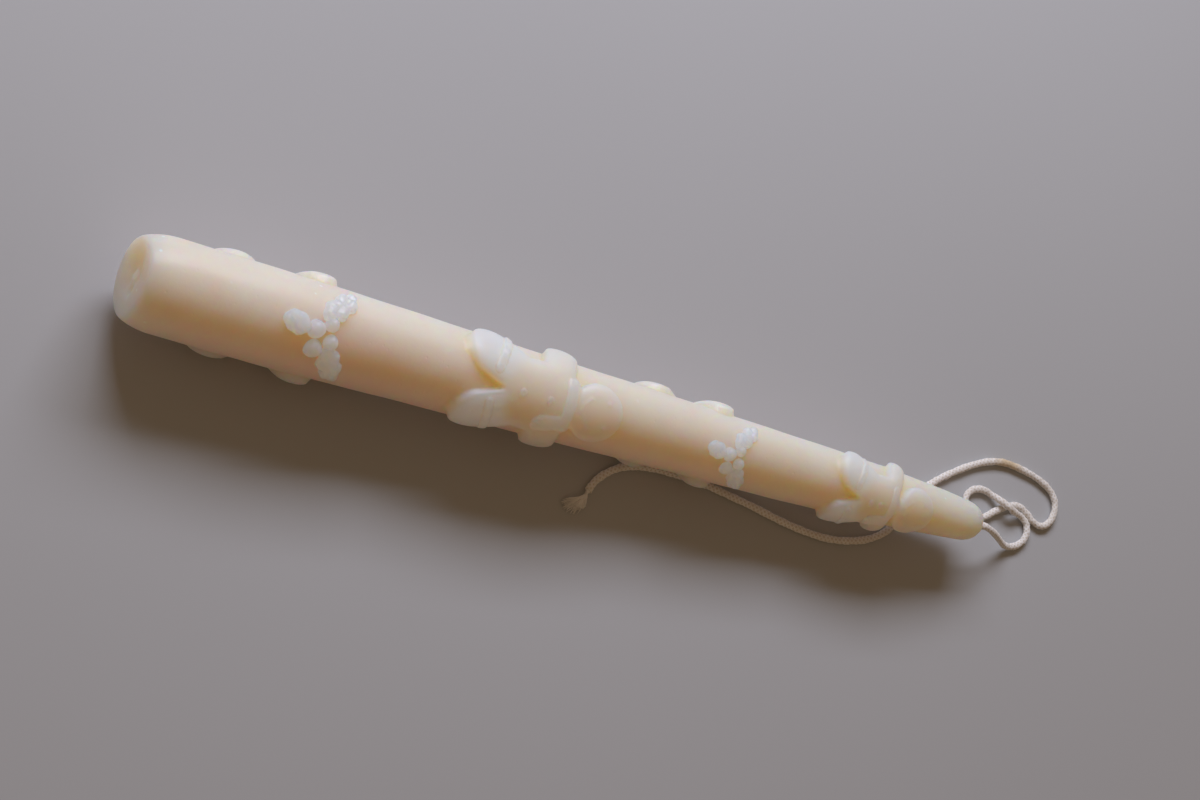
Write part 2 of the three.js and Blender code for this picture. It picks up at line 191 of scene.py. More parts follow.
def make_camera():
    towards = -level_side * math.cos(RISE) + upright * math.sin(RISE)
    tilt = level_side * math.sin(RISE) + upright * math.cos(RISE)
    reach = DISTANCE * MM
    spot = origin + along * (STAND * MM - reach * math.sin(SWING)) + towards * reach * math.cos(SWING)
    forward = unit(math.sin(SWING) * along - math.cos(SWING) * towards + LIFT_PIXELS / FOCAL_PIXELS * tilt)
    axis_seen = unit(along - (along @ forward) * forward)
    square = -np.cross(forward, axis_seen)
    right = SLOPE[0] * axis_seen + SLOPE[1] * square
    down = SLOPE[1] * axis_seen - SLOPE[0] * square
    turned_right = math.cos(ROLL_VIEW) * right + math.sin(ROLL_VIEW) * down
    turned_down = -math.sin(ROLL_VIEW) * right + math.cos(ROLL_VIEW) * down
    data = bpy.data.cameras.new("camera")
    data.sensor_fit = "HORIZONTAL"
    data.sensor_width = SENSOR
    data.lens = FOCAL_PIXELS * SENSOR / FRAME_WIDE
    data.clip_start = 0.01
    data.clip_end = 20
    camera = bpy.data.objects.new("camera", data)
    bpy.context.scene.collection.objects.link(camera)
    turn = Matrix((turned_right, -turned_down, -forward)).transposed().to_4x4()
    camera.matrix_world = Matrix.Translation(Vector(spot)) @ turn
    bpy.context.scene.camera = camera
    print("camera at", [round(float(v), 4) for v in spot], "lens", round(data.lens, 1), "mm")


make_camera()

# %% [markdown]
# ## The wick's route
#
# The loose wick lies in limp loops, as it fell. A simulation would let it fall some other way, so its
# route is drawn with the same points as the CAD cord. A centripetal Catmull-Rom curve goes through
# all of them without a corner, and is then cut into equal steps.

# %% Draw the route
WICK_RADIUS = 0.9
CORE_END = 248.2
SEAT_GAP = 0.25
WICK_SHOWS_AT = 0.9
ROUTE = [
    [126.3, -0.6, 10.0], [128.7, -0.8, 9.1], [132.3, -1.0, 6.9], [135.8, -1.4, 4.5],
    [139.2, -1.7, 2.3], [142.3, -1.4, 1.2], [145.2, -0.1, 1.0], [147.2, 2.0, 1.0],
    [147.9, 4.3, 1.0], [147.3, 6.4, 1.0], [145.2, 7.8, 1.2], [142.0, 8.1, 2.4],
    [139.4, 8.8, 3.2], [137.0, 10.1, 2.4], [134.6, 11.4, 1.2], [131.8, 12.2, 1.0],
    [128.5, 11.6, 1.0], [126.3, 9.7, 1.0], [125.7, 6.9, 1.0], [127.1, 4.5, 1.0],
    [129.9, 3.8, 1.0], [132.8, 4.9, 1.0], [136.2, 7.2, 1.0], [139.3, 9.0, 0.95],
    [142.0, 10.2, 1.0], [144.8, 10.4, 1.0], [147.4, 9.1, 1.0], [149.9, 7.3, 1.0],
    [152.9, 6.8, 1.0], [155.6, 8.6, 1.0], [157.0, 11.7, 1.0], [156.9, 14.8, 1.0],
    [155.0, 17.4, 1.0], [151.4, 19.3, 1.0], [147.0, 20.5, 1.0], [142.5, 21.2, 1.0],
    [137.8, 21.4, 1.0], [133.0, 20.5, 1.0], [127.4, 18.2, 1.0], [121.4, 14.9, 1.0],
    [115.3, 10.9, 1.0], [109.0, 5.4, 1.0], [104.4, -1.0, 1.0], [100.6, -6.2, 1.0],
    [94.6, -9.9, 1.0], [87.3, -12.0, 1.0], [80.0, -12.7, 1.0], [72.0, -12.2, 1.0],
    [64.5, -11.1, 1.0], [57.9, -9.8, 1.0], [51.0, -8.7, 1.0], [43.0, -7.5, 1.0],
    [34.0, -6.9, 1.0], [25.1, -7.0, 1.0], [17.6, -8.5, 1.0], [12.6, -11.3, 1.0],
    [9.5, -14.3, 1.0], [7.9, -17.0, 1.0],
]


# %% Smooth it and cut it into steps
def smooth_route(points, steps=40):
    points = np.asarray(points, float)
    ends = [2 * points[0] - points[1], *points, 2 * points[-1] - points[-2]]
    curve = []
    for p0, p1, p2, p3 in zip(ends, ends[1:], ends[2:], ends[3:]):
        d0, d1, d2 = (max(np.linalg.norm(b - a) ** 0.5, 1e-6) for a, b in ((p0, p1), (p1, p2), (p2, p3)))
        start = ((p1 - p0) / d0 - (p2 - p0) / (d0 + d1) + (p2 - p1) / d1) * d1
        stop = ((p2 - p1) / d1 - (p3 - p1) / (d1 + d2) + (p3 - p2) / d2) * d1
        t = (np.arange(steps) / steps)[:, None]
        curve.append(
            (2 * t**3 - 3 * t**2 + 1) * p1
            + (t**3 - 2 * t**2 + t) * start
            + (3 * t**2 - 2 * t**3) * p2
            + (t**3 - t**2) * stop
        )
    return np.vstack([*curve, points[-1:]])


def even_steps(curve, step):
    lengths = np.linalg.norm(np.diff(curve, axis=0), axis=1)
    reached = np.concatenate([[0], np.cumsum(lengths)])
    count = max(2, round(reached[-1] / step))
    at = np.linspace(0, reached[-1], count + 1)
    return np.column_stack([np.interp(at, reached, curve[:, k]) for k in range(3)]), reached[-1]


wick_exit = in_world(CORE_END + SEAT_GAP, 0.0, 0.0)
wick_points = [wick_exit, *(np.array(ROUTE) * MM)]
wick_line, wick_measured = even_steps(smooth_route(wick_points), 0.22 * MM)
print("wick route", round(wick_measured * 1000, 1), "mm")

# %% [markdown]
# ## Plaited cotton
#
# A candle wick is a tight square plait. Four wound tubes would take many faces, and a bump texture
# would leave the outline smooth. Here one tube's radius follows the yarns. Two sets wind round it in
# opposite directions and pass over and under each other, which gives the little chevrons along it, and
# the higher of the two sets counts at each spot.

# %% Wind the yarns
PLAIT_PITCH = 5.2
YARNS = 4


def carried_frames(line):
    headings = np.gradient(line, axis=0)
    headings /= np.linalg.norm(headings, axis=1)[:, None]
    first = np.cross(headings[0], [0.3, 0.1, 1.0])
    normal = first / np.linalg.norm(first)
    normals = []
    for heading in headings:
        normal = normal - (normal @ heading) * heading
        normal = normal / np.linalg.norm(normal)
        normals.append(normal)
    normals = np.array(normals)
    return headings, normals, np.cross(headings, normals)


def plait_height(distance, angle):
    wind = 2 * np.pi * distance / (PLAIT_PITCH * MM)
    right = np.cos(YARNS * (angle - wind) / 2) ** 2
    left = np.cos(YARNS * (angle + wind) / 2) ** 2
    over = np.sin(YARNS * angle / 2 + 0.4) * np.cos(YARNS * wind / 2)
    return np.maximum(right * (0.78 + 0.22 * over), left * (0.78 - 0.22 * over))


def tube_faces(first, rings, sides):
    last = first + (rings - 1) * sides
    faces = []
    for row in range(first, last, sides):
        for j in range(sides):
            k = (j + 1) % sides
            faces.append((row + j, row + k, row + sides + k, row + sides + j))
    faces.append(tuple(reversed(range(first, first + sides))))
    faces.append(tuple(range(last, last + sides)))
    return faces


def plaited_tube(name, line, radius, sides=24):
    headings, normals, across = carried_frames(line)
    steps = np.linalg.norm(np.diff(line, axis=0), axis=1)
    distance = np.concatenate([[0], np.cumsum(steps)])
    angle = np.linspace(0, 2 * np.pi, sides, endpoint=False)
    height = plait_height(distance[:, None], angle[None, :])
    way = distance[:, None] / MM
    slack = 0.05 * np.sin(way * 0.9 + 1.3 * np.sin(way * 0.31))
    slack = slack + 0.04 * np.sin(way * 2.3 + angle[None, :])
    reach = radius * MM * (0.88 + 0.14 * height) * (1 + slack)
    ring = np.cos(angle)[None, :, None] * normals[:, None, :]
    ring = ring + np.sin(angle)[None, :, None] * across[:, None, :]
    pressed = np.array([1.1, 1.1, 0.86])
    points = (line[:, None, :] + ring * reach[..., None] * pressed).reshape(-1, 3)
    piece = mesh_object(name, points, tube_faces(0, len(line), sides))
    write_attribute(piece, "plait", height)
    write_attribute(piece, "distance", np.repeat(distance / MM, sides))
    return piece


# %% Make the loose wick and the cast-in wick
wick_free = plaited_tube("wick_loose", wick_line, WICK_RADIUS)
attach(wick_free, "root")
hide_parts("wick_free")
say(wick_free)

core_line = in_world(np.linspace(WICK_SHOWS_AT, CORE_END + 0.3, 600), 0.0, 0.0)
wick_core = plaited_tube("wick_cast_in", core_line, WICK_RADIUS * 0.98)
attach(wick_core, "root")
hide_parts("wick_core")
say(wick_core)

# %% [markdown]
# ## The frayed end
#
# Where the plait was cut, its yarns have opened into a fan. Hair particles could do it, but thin tubes
# keep their shape in any export. Each yarn starts inside the wick's end and wanders to its own place on
# the fan's outer edge, lying on whatever the candle lies on.

# %% Make thin tubes
def thin_tubes(name, lines, radii, sides=5):
    angle = np.linspace(0, 2 * np.pi, sides, endpoint=False)
    points = []
    faces = []
    for line, radius in zip(lines, radii):
        _, normals, across = carried_frames(line)
        faces.extend(tube_faces(len(points), len(line), sides))
        for i, (spot, normal, other) in enumerate(zip(line, normals, across)):
            share = i / (len(line) - 1)
            reach = radius * (1 - 0.55 * share**3)
            points.extend(spot + reach * (math.cos(a) * normal + math.sin(a) * other) for a in angle)
    return mesh_object(name, points, faces)


# %% Open the yarns into a fan
YARN_ENDS = 150
FRAY_EDGE = [
    [1.2, -20.9], [2.0, -22.2], [3.3, -22.7], [4.8, -22.8], [6.2, -22.2], [7.4, -21.4], [7.9, -20.6],
]


def frayed_yarns(count):
    end = np.array(ROUTE[-1])
    heading = unit(wick_line[-1] - wick_line[-8])
    sideways = unit(np.cross([0, 0, 1], heading))
    edge = np.array(FRAY_EDGE)
    lines = []
    for k in range(count):
        share = (k + 0.5) / count + random.normal(0, 0.03)
        share = min(max(share, 0.0), 1.0)
        spot = share * (len(edge) - 1)
        goal = np.array([np.interp(spot, range(len(edge)), edge[:, i]) for i in (0, 1)])
        layer = random.uniform(0.0, 1.0)
        inner = end - heading * 1.2 + sideways * (0.5 - share) * 1.1 + np.array([0, 0, layer - 0.5]) * 0.9
        out = np.array([*goal, 0.2 + layer * random.uniform(0.6, 1.0)])
        out[:2] += (out[:2] - end[:2]) * random.normal(-0.04, 0.1)
        bend = random.normal(0, 0.32, 3) * np.array([1, 1, 0.3])
        t = np.linspace(0, 1, 14)[:, None]
        reach = np.linalg.norm(out - inner)
        line = (1 - t) ** 3 * inner + 3 * (1 - t) ** 2 * t * (inner + heading * reach * 0.42)
        line = line + 3 * (1 - t) * t**2 * (out - unit(out - inner) * reach * 0.25 + bend) + t**3 * out
        wave = np.sin(t * random.uniform(7, 13) + random.uniform(0, 6)) * 0.1 * t
        line = line + wave * sideways
        line[:, 2] = np.clip(line[:, 2], 0.14, 1.55)
        lines.append(line * MM)
    return lines


fray_lines = frayed_yarns(YARN_ENDS)
fray_radii = random.uniform(0.09, 0.15, YARN_ENDS) * MM
frayed_end = thin_tubes("wick_frayed_yarns", fray_lines, fray_radii)
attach(frayed_end, "root")
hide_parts("wick_frayed_end")
say(frayed_end)

# %% [markdown]
# ## Stray fibres
#
# Short fibres stand off cotton all along it and soften its outline. A fuzzy shader would leave that
# outline sharp, so these are real, thinner than a hair, and scattered by a seeded draw.

# %% Scatter the fibres
FIBRE_COUNT = 900
FIBRE_LENGTH = 1.5
FIBRE_RADIUS = 0.022


def stray_fibres(line, count, longest):
    headings, normals, across = carried_frames(line)
    lines = []
    for _ in range(count):
        i = int(random.integers(6, len(line) - 6))
        angle = random.uniform(0, 2 * np.pi)
        outward = math.cos(angle) * normals[i] + math.sin(angle) * across[i]
        if outward[2] < -0.2:
            outward[2] = -outward[2]
        forward = headings[i] * random.choice([-1, 1])
        length = random.uniform(0.3, 1.0) * longest
        t = np.linspace(0, 1, 5)[:, None]
        base = line[i] + outward * WICK_RADIUS * 0.85 * MM
        lift = outward * random.uniform(0.15, 0.6) + random.normal(0, 0.25, 3)
        fibre = base + (forward * t + lift * t**1.6) * length * MM
        fibre[:, 2] = np.maximum(fibre[:, 2], 0.03 * MM)
        lines.append(fibre)
    return lines


fibre_lines = stray_fibres(wick_line, FIBRE_COUNT, FIBRE_LENGTH)
fibre_radii = np.full(FIBRE_COUNT, FIBRE_RADIUS * MM)
fibres = thin_tubes("wick_stray_fibres", fibre_lines, fibre_radii, sides=3)
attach(fibres, "root")
say(fibres)

# %% [markdown]
# ## The wax taper's shape
#
# The taper was cast in a mould: a short straight base for the holder, a long even taper and a blunt
# nose at the wick. A lathe with a bevel on each edge would do, but its bevels look turned. Here the
# profile has the CAD taper's named sizes, is drawn as base face, flank, nose and tip face, and is then
# smoothed a little, because real wax is never sharp.

# %% Name the sizes
CANDLE_LENGTH = 247.0
BASE_RADIUS = 11.3
END_FACE_RADIUS = 9.5
END_ROUND_LENGTH = 8.0
STRAIGHT_LENGTH = 35.0
EVEN_LOSS = 4.0
SHOULDER_LOSS = 2.5
SHOULDER_SHARPNESS = 10.5
NOSE_LENGTH = 4.6
TIP_FACE_RADIUS = 2.3
DISH_RADIUS = 7.2
DISH_DEPTH = 1.5


# %% Draw the profile
def taper_radius(x):
    share = np.clip(np.asarray(x, float) / CANDLE_LENGTH, 0, 1)
    straight = STRAIGHT_LENGTH / CANDLE_LENGTH
    even = np.maximum(0, (share - straight) / (1 - straight))
    return BASE_RADIUS - EVEN_LOSS * even - SHOULDER_LOSS * share**SHOULDER_SHARPNESS


def outer_radius(x):
    x = np.asarray(x, float)
    radius = taper_radius(x)
    round_share = np.clip(1 - x / END_ROUND_LENGTH, 0, 1)
    radius = radius - (BASE_RADIUS - END_FACE_RADIUS) * round_share**2
    nose_start = CANDLE_LENGTH - NOSE_LENGTH
    share = np.clip((x - nose_start) / NOSE_LENGTH, 0, 1)
    nose = TIP_FACE_RADIUS + (radius - TIP_FACE_RADIUS) * np.sqrt(1 - share**2)
    return np.where(x > nose_start, nose, radius)


def smoothed(values, width):
    reach = int(width * 3)
    kernel = np.exp(-0.5 * (np.arange(-reach, reach + 1) / width) ** 2)
    kernel /= kernel.sum()
    padded = np.pad(values, reach, mode="reflect", reflect_type="odd")
    return np.convolve(padded, kernel, mode="valid")


def taper_profile():
    step = 0.1
    face = np.arange(0, END_FACE_RADIUS, step)
    nose_start = CANDLE_LENGTH - NOSE_LENGTH
    flank = np.arange(0, nose_start, step)
    nose = nose_start + NOSE_LENGTH * np.sin(np.linspace(0, np.pi / 2, 90))
    tip = np.arange(TIP_FACE_RADIUS, 0, -step)
    x = np.concatenate([0 * face, flank, nose, 0 * tip + CANDLE_LENGTH])
    r = np.concatenate([face, outer_radius(flank), outer_radius(nose), tip])
    lengths = np.hypot(np.diff(x), np.diff(r))
    reached = np.concatenate([[0], np.cumsum(lengths)])
    at = np.arange(0, reached[-1], step)
    x = smoothed(np.interp(at, reached, x), 6)
    r = smoothed(np.interp(at, reached, r), 6)
    return at, x, np.maximum(r, 0)


print("taper:", CANDLE_LENGTH, "mm long,", 2 * BASE_RADIUS, "mm across its base")

# %% [markdown]
# ## The raised figures, as drawn on the unrolled surface
#
# The mould's pockets left gingerbread figures that stand 2 mm proud. They could be sculpted, but a
# height over the taper can be written down, and it stays the same on every run. A figure is a run of
# rounded strokes: torso, neck, head, two arms and two legs. `depth` is how far a point lies inside the
# outline, and the height rises through a short wall into a soft crown. The small figure near the tip
# has a shorter body and a larger head for its size than the others.

# %% Draw a figure's strokes
BISCUIT_THICKNESS = 2.0
ROUNDED_EDGE = 3.4
EDGE_SHARE = 0.35
WALL_WIDTH = 0.62
WALL_OUTSIDE = 0.28
SMILE_HEIGHT = 0.3
SMILE_HALF_WIDTH = 0.5
EYE_HEIGHT = 0.35
EYE_RADIUS = 0.85


def stroke(start, start_radius, stop, stop_radius):
    return (start, start_radius, stop, stop_radius)


def mirrored(part):
    (x0, a0), r0, (x1, a1), r1 = part
    return ((x0, -a0), r0, (x1, -a1), r1)


LEG = stroke((2.8, 4.7), 5.2, (-4.0, 8.0), 6.15)
CUFF = stroke((-2.7, 3.6), 1.15, (0.5, 11.0), 1.15)
BUTTON_RADIUS = 1.0
HEAD_MIDDLE = 26.8
SMILE = [(-2.1, -3.6), (-3.4, -2.4), (-4.6, -0.8), (-4.7, 1.2), (-2.7, 2.8)]
EYES = [(2.4, 2.7), (2.4, -2.7)]


def body(neck_back=0.0, arm_size=1.0, head_size=1.0):
    torso = stroke((8.9, 0), 8.8, (13.6 - neck_back, 0), 8.6)
    neck = stroke((18.8 - neck_back, 4.6), 2.3, (18.8 - neck_back, -4.6), 2.3)
    head_radius = 7.4 * head_size
    head = stroke((HEAD_MIDDLE, 0), head_radius, (HEAD_MIDDLE, 0), head_radius)
    arm = stroke((14.8, 7.0), 4.6 * arm_size, (17.0, 12.8), 4.4 * arm_size)
    return dict(
        torso=torso,
        arms=[arm, mirrored(arm)],
        outline=[torso, neck, head, arm, mirrored(arm), LEG, mirrored(LEG)],
        scarf=[
            stroke((18.4 - neck_back, 4.5), 1.65, (18.4 - neck_back, -4.5), 1.65),
            stroke((16.6 - neck_back, -4.2), 1.8, (12.0 - neck_back, -5.2), 2.0),
        ],
        buttons=[5.0, 12.6 - neck_back],
        knot_at=17.4 - neck_back,
        smile=[(HEAD_MIDDLE + x * head_size, a * head_size) for x, a in SMILE],
        eyes=[(HEAD_MIDDLE + x * head_size, a * head_size) for x, a in EYES],
    )


# %% Place the four figures
USUAL = body()
SHORT_BODY = body(neck_back=3.4, arm_size=0.82, head_size=1.16)
FIGURES = {
    "gingerbread_1": dict(parts_at=28.4, turn=180, along=1.0, across=1.1, milk=0.35, body=USUAL),
    "gingerbread_2": dict(parts_at=92.0, turn=-2, along=1.0, across=1.0, milk=1.0, body=USUAL),
    "gingerbread_3": dict(parts_at=144.4, turn=173, along=0.88, across=0.95, milk=0.35, body=USUAL),
    "gingerbread_4": dict(parts_at=201.4, turn=-15, along=0.7, across=0.8, milk=0.8, body=SHORT_BODY),
}


# %% Measure how deep a point lies
def depth_in(part, x, a):
    (x0, a0), r0, (x1, a1), r1 = part
    dx, da = x1 - x0, a1 - a0
    span = dx * dx + da * da
    t = np.clip(((x - x0) * dx + (a - a0) * da) / span, 0, 1) if span else 0.0
    return r0 + (r1 - r0) * t - np.hypot(x - x0 - dx * t, a - a0 - da * t)


def depth_inside(parts, x, a, softness=0.3):
    depths = np.array([depth_in(part, x, a) for part in parts])
    top = depths.max(axis=0)
    return top + softness * np.log(np.exp((depths - top) / softness).sum(axis=0))


def soft_step(value):
    value = np.clip(value, 0, 1)
    return value * value * (3 - 2 * value)


def domed(depth, width):
    share = 1 - np.clip(depth / width, 0, 1)
    return EDGE_SHARE + (1 - EDGE_SHARE) * np.sqrt(np.maximum(0, 1 - share**2))


def arc_from(figure, angle):
    turn = math.radians(figure["turn"])
    unrolled = outer_radius(figure["parts_at"])
    away = (np.asarray(angle) - turn + np.pi) % (2 * np.pi) - np.pi
    return away * unrolled


def near_line(points, x, a, half_width):
    depths = [
        depth_in(stroke(p, half_width, q, half_width), x, a) for p, q in zip(points, points[1:])
    ]
    return soft_step(np.max(depths, axis=0) / half_width + 0.25)


def as_drawn(figure, x, angle):
    return (x - figure["parts_at"]) / figure["along"], arc_from(figure, angle) / figure["across"]


# %% Turn depth into height, milkiness and a painted light rim
PLAIN_MILK = 0.15
LEG_MILK = 0.8
ARM_MILK = 0.2
RIM_PAINTED_LIGHT = 0.25
RIM_WIDTH = 1.3


def figure_height(figure, x, angle):
    drawn_x, drawn_a = as_drawn(figure, x, angle)
    shape = figure["body"]
    depth = depth_inside(shape["outline"], drawn_x, drawn_a) * figure["across"]
    wall = soft_step((depth + WALL_OUTSIDE) / WALL_WIDTH)
    height = SEAT_GAP + BISCUIT_THICKNESS * domed(depth, ROUNDED_EDGE * figure["across"])
    smile = SMILE_HEIGHT * near_line(shape["smile"], drawn_x, drawn_a, SMILE_HALF_WIDTH)
    eyes = sum(
        EYE_HEIGHT * soft_step(depth_in(stroke(p, EYE_RADIUS, p, EYE_RADIUS), drawn_x, drawn_a) / 0.7)
        for p in shape["eyes"]
    )
    return height * wall + (smile + eyes) * figure["across"]


def figure_milk_and_rim_light(figure, x, angle):
    drawn_x, drawn_a = as_drawn(figure, x, angle)
    shape = figure["body"]
    depth = depth_inside(shape["outline"], drawn_x, drawn_a)
    inside = soft_step(depth + 0.4)
    legs = soft_step(depth_inside([LEG, mirrored(LEG)], drawn_x, drawn_a) / 2)
    arms = soft_step(depth_inside(shape["arms"], drawn_x, drawn_a) / 2)
    # Painted highlight: a paler rim along each figure's outline, where its edges catch the light.
    painted_rim_light = np.exp(-((depth / RIM_WIDTH) ** 2))
    torso = soft_step((depth_in(shape["torso"], drawn_x, drawn_a) + 2) / 5)
    strength = PLAIN_MILK + (LEG_MILK * legs + ARM_MILK * arms) * (1 - torso) + RIM_PAINTED_LIGHT * painted_rim_light
    return figure["milk"] * inside * np.minimum(strength, 1)


def over_figures(field, x, angle):
    total = np.zeros(np.broadcast(x, angle).shape)
    for figure in FIGURES.values():
        total = np.maximum(total, field(figure, x, angle))
    return total


def raised(x, angle):
    return over_figures(figure_height, x, angle)


print("raised figures:", ", ".join(FIGURES))

# %% [markdown]
# ## Trim on the wax
#
# Scarves, cuffs and buttons stand a little over the figures, and leaves and berries over the taper. They
# are too thin for the skin's own cells, so each is a closed lump that is drawn on the same unrolled
# surface: a depth inside its outline, and a height over the wax that carries it. `milk` says how milky
# it is, and leaves and berries are milky all through.

# %% Keep a list of trim
ALL_MILK = 1.0
trims = []


def seat_at(start, turn, scale, across=0.0):
    unrolled = float(outer_radius(start))
    return dict(start=start, turn=math.radians(turn), scale=scale, across=across, unrolled=unrolled)


def from_drawn(seat, drawn_x, drawn_a):
    x = seat["start"] + drawn_x * seat["scale"][0]
    return x, seat["turn"] + (drawn_a * seat["scale"][1] + seat["across"]) / seat["unrolled"]


def bounds_of(parts):
    low = [min(min(p[0][k] - p[1], p[2][k] - p[3]) for p in parts) for k in (0, 1)]
    high = [max(max(p[0][k] + p[1], p[2][k] + p[3]) for p in parts) for k in (0, 1)]
    return low, high


def add_trim(node, seat, parts, depth, height, cell, milk):
    low, high = bounds_of(parts)
    facts = dict(node=node, seat=seat, depth=depth, height=height, cell=cell, milk=milk)
    trims.append(dict(facts, low=low, high=high))


def round_top(depth, thickness, width, wall=0.3):
    share = 1 - np.clip(depth / width, 0, 1)
    crown = 0.5 + 0.5 * np.sqrt(np.maximum(0, 1 - share**2))
    return thickness * soft_step(depth / wall + 0.35) * crown


# %% List the figures' trim
SCARF_THICKNESS = 0.46
SCARF_MILK = 0.6
CUFF_THICKNESS = 0.42
CUFF_MILK = 0.9
BUTTON_THICKNESS = 0.34
BUTTON_MILK = 0.25


def list_figure_trim(number, figure):
    seat = seat_at(figure["parts_at"], figure["turn"], (figure["along"], figure["across"]))
    size = figure["across"]
    shape = figure["body"]
    knot_at = shape["knot_at"]

    def clipped(parts):
        def inside(x, a):
            in_body = depth_inside(shape["outline"], x, a) - 0.35
            return np.minimum(depth_inside(parts, x, a, 0.15), in_body)

        return inside

    def scarf_height(depth, x, a):
        folds = 0.05 * np.cos(a * 2.4 + 0.6 * x)
        fringe = 0.08 * soft_step((knot_at - 4.4 - x) / 1.2) * np.cos((a + 5.2) * 6.4) * (a < -2.9)
        knot = 0.12 * np.exp(-(((x - knot_at) / 1.5) ** 2) - ((a + 4.3) / 1.6) ** 2)
        return round_top(depth, SCARF_THICKNESS * size, 1.3, 0.8) + folds + fringe + knot

    def cuff_height(depth, x, a):
        gathers = 1 + 0.25 * np.sin(a * 2.9) * np.cos(x * 1.3)
        return round_top(depth, CUFF_THICKNESS * size, 1.1, 0.8) * gathers

    def button_height(depth, x, a):
        dimple = 0.06 * np.exp(-(((depth - BUTTON_RADIUS) / 0.3) ** 2))
        return round_top(depth, BUTTON_THICKNESS * size, 0.9, 0.6) - dimple

    scarf = shape["scarf"]
    milk = SCARF_MILK * figure["milk"]
    add_trim(f"scarf_{number}", seat, scarf, clipped(scarf), scarf_height, 0.2, milk)
    for letter, part in (("a", CUFF), ("b", mirrored(CUFF))):
        milk = CUFF_MILK * figure["milk"]
        add_trim(f"cuff_{number}_{letter}", seat, [part], clipped([part]), cuff_height, 0.2, milk)
    for i, spot in enumerate(shape["buttons"]):
        part = stroke((spot, 0), BUTTON_RADIUS, (spot, 0), BUTTON_RADIUS)
        inside = partial(depth_in, part)
        milk = BUTTON_MILK * figure["milk"]
        add_trim(f"button_{number}_{i + 1}", seat, [part], inside, button_height, 0.12, milk)


for name, figure in FIGURES.items():
    list_figure_trim(name[-1], figure)
print("trim on the figures:", len(trims), "lumps")

# %% [markdown]
# ## Holly sprigs
#
# Each sprig has three lobed leaves round four berries, poured so thick that their edges are soft. Real
# holly's spines would be wrong here. A leaf is a bundle of round lobes with a faint midrib, and a berry
# is a dome that is not quite round.

# %% Draw a sprig
BERRIES = [((0.5, 0.1), 2.2), ((1.2, -4.4), 2.15), ((4.8, -2.0), 1.8), ((4.1, 1.9), 1.7)]
BERRY_HEIGHT = 2.1
LEAF_THICKNESS = 1.45
RIB_DEPTH = 0.14
RIB_WIDTH = 0.4
LEAVES = {
    "leaf_low": dict(root=(-2.9, 0.1), tip=(-6.3, 1.0), width=4.8),
    "leaf_side": dict(root=(5.4, -5.3), tip=(8.6, -10.0), width=5.4),
    "leaf_far": dict(root=(3.7, 4.5), tip=(8.5, 9.0), width=5.4),
}
LOBES = [
    (-0.1, 0.0, 0.33), (0.15, 0.24, 0.29), (0.3, -0.22, 0.32), (0.45, 0.0, 0.36), (0.7, 0.26, 0.27),
    (0.85, -0.18, 0.29), (1.1, 0.08, 0.27),
]
SPRIGS = {
    "sprig_1": dict(first_berry=41.2, across=0.3, turn=0, size=1.0),
    "sprig_2": dict(first_berry=105.0, across=0.0, turn=179, size=0.9),
    "sprig_3": dict(first_berry=159.3, across=-0.6, turn=-1, size=0.8),
    "sprig_4": dict(first_berry=209.0, across=0.0, turn=168, size=0.68),
}


# %% List the leaves and berries
def list_leaf(sprig, leaf_name, seat, size):
    leaf = LEAVES[leaf_name]
    number = len(trims)
    root = np.array(leaf["root"])
    reach = np.array(leaf["tip"]) - root
    sideways = unit(np.array([-reach[1], reach[0]])) * leaf["width"]
    parts = []
    for far, away, share in LOBES:
        centre = tuple(root + reach * far + sideways * away)
        parts.append(stroke(centre, leaf["width"] * share, centre, leaf["width"] * share))
    heading = unit(reach)

    def height(depth, x, a):
        from_rib = (x - root[0]) * -heading[1] + (a - root[1]) * heading[0]
        rib = RIB_DEPTH * np.exp(-((from_rib / RIB_WIDTH) ** 2))
        lumps = 0.13 * np.sin(x * 2.1 + a * 1.1 + number) * np.cos(a * 2.3 + number)
        return (round_top(depth, LEAF_THICKNESS + 0.25, 2.4, 0.6) - rib + lumps) * size

    inside = partial(depth_inside, parts, softness=0.32)
    add_trim(f"{sprig}_{leaf_name}", seat, parts, inside, height, 0.22, ALL_MILK)


def list_berry(sprig, number, spot, radius, seat, size):
    def height(depth, x, a):
        share = np.clip(1 - depth / radius, 0, 1)
        return (BERRY_HEIGHT + 0.25) * np.maximum(0, 1 - share**2.4) ** 0.62 * size

    def inside(x, a):
        turn = np.arctan2(a - spot[1], x - spot[0])
        uneven = 1 + 0.03 * np.sin(3 * turn + number) + 0.02 * np.sin(2 * turn)
        return radius * uneven - np.hypot(x - spot[0], a - spot[1])

    parts = [stroke(spot, radius, spot, radius)]
    add_trim(f"{sprig}_berry_{number}", seat, parts, inside, height, 0.17, ALL_MILK)


for sprig, facts in SPRIGS.items():
    size = facts["size"]
    seat = seat_at(facts["first_berry"], facts["turn"], (size, size), facts["across"])
    for leaf_name in LEAVES:
        list_leaf(sprig, leaf_name, seat, size)
    for number, (spot, radius) in enumerate(BERRIES):
        list_berry(sprig, number + 1, spot, radius, seat, size)
print("trim in all:", len(trims), "lumps")

# %% [markdown]
# ## One cast skin
#
# The taper and its four figures have fused where they meet. Separate pieces would show a seam and
# stop the light, so they are one skin here. The hollow in the base end is off centre and uneven, as a
# cooling shrink is, and the wax creeps a little way up the wick at the tip. The rows of cells lie
# closer together where the raised figures need them.

# %% Space the rows
AROUND = 206
FINE_STEP = 0.42
END_STEP = 0.3
PLAIN_STEP = 1.1


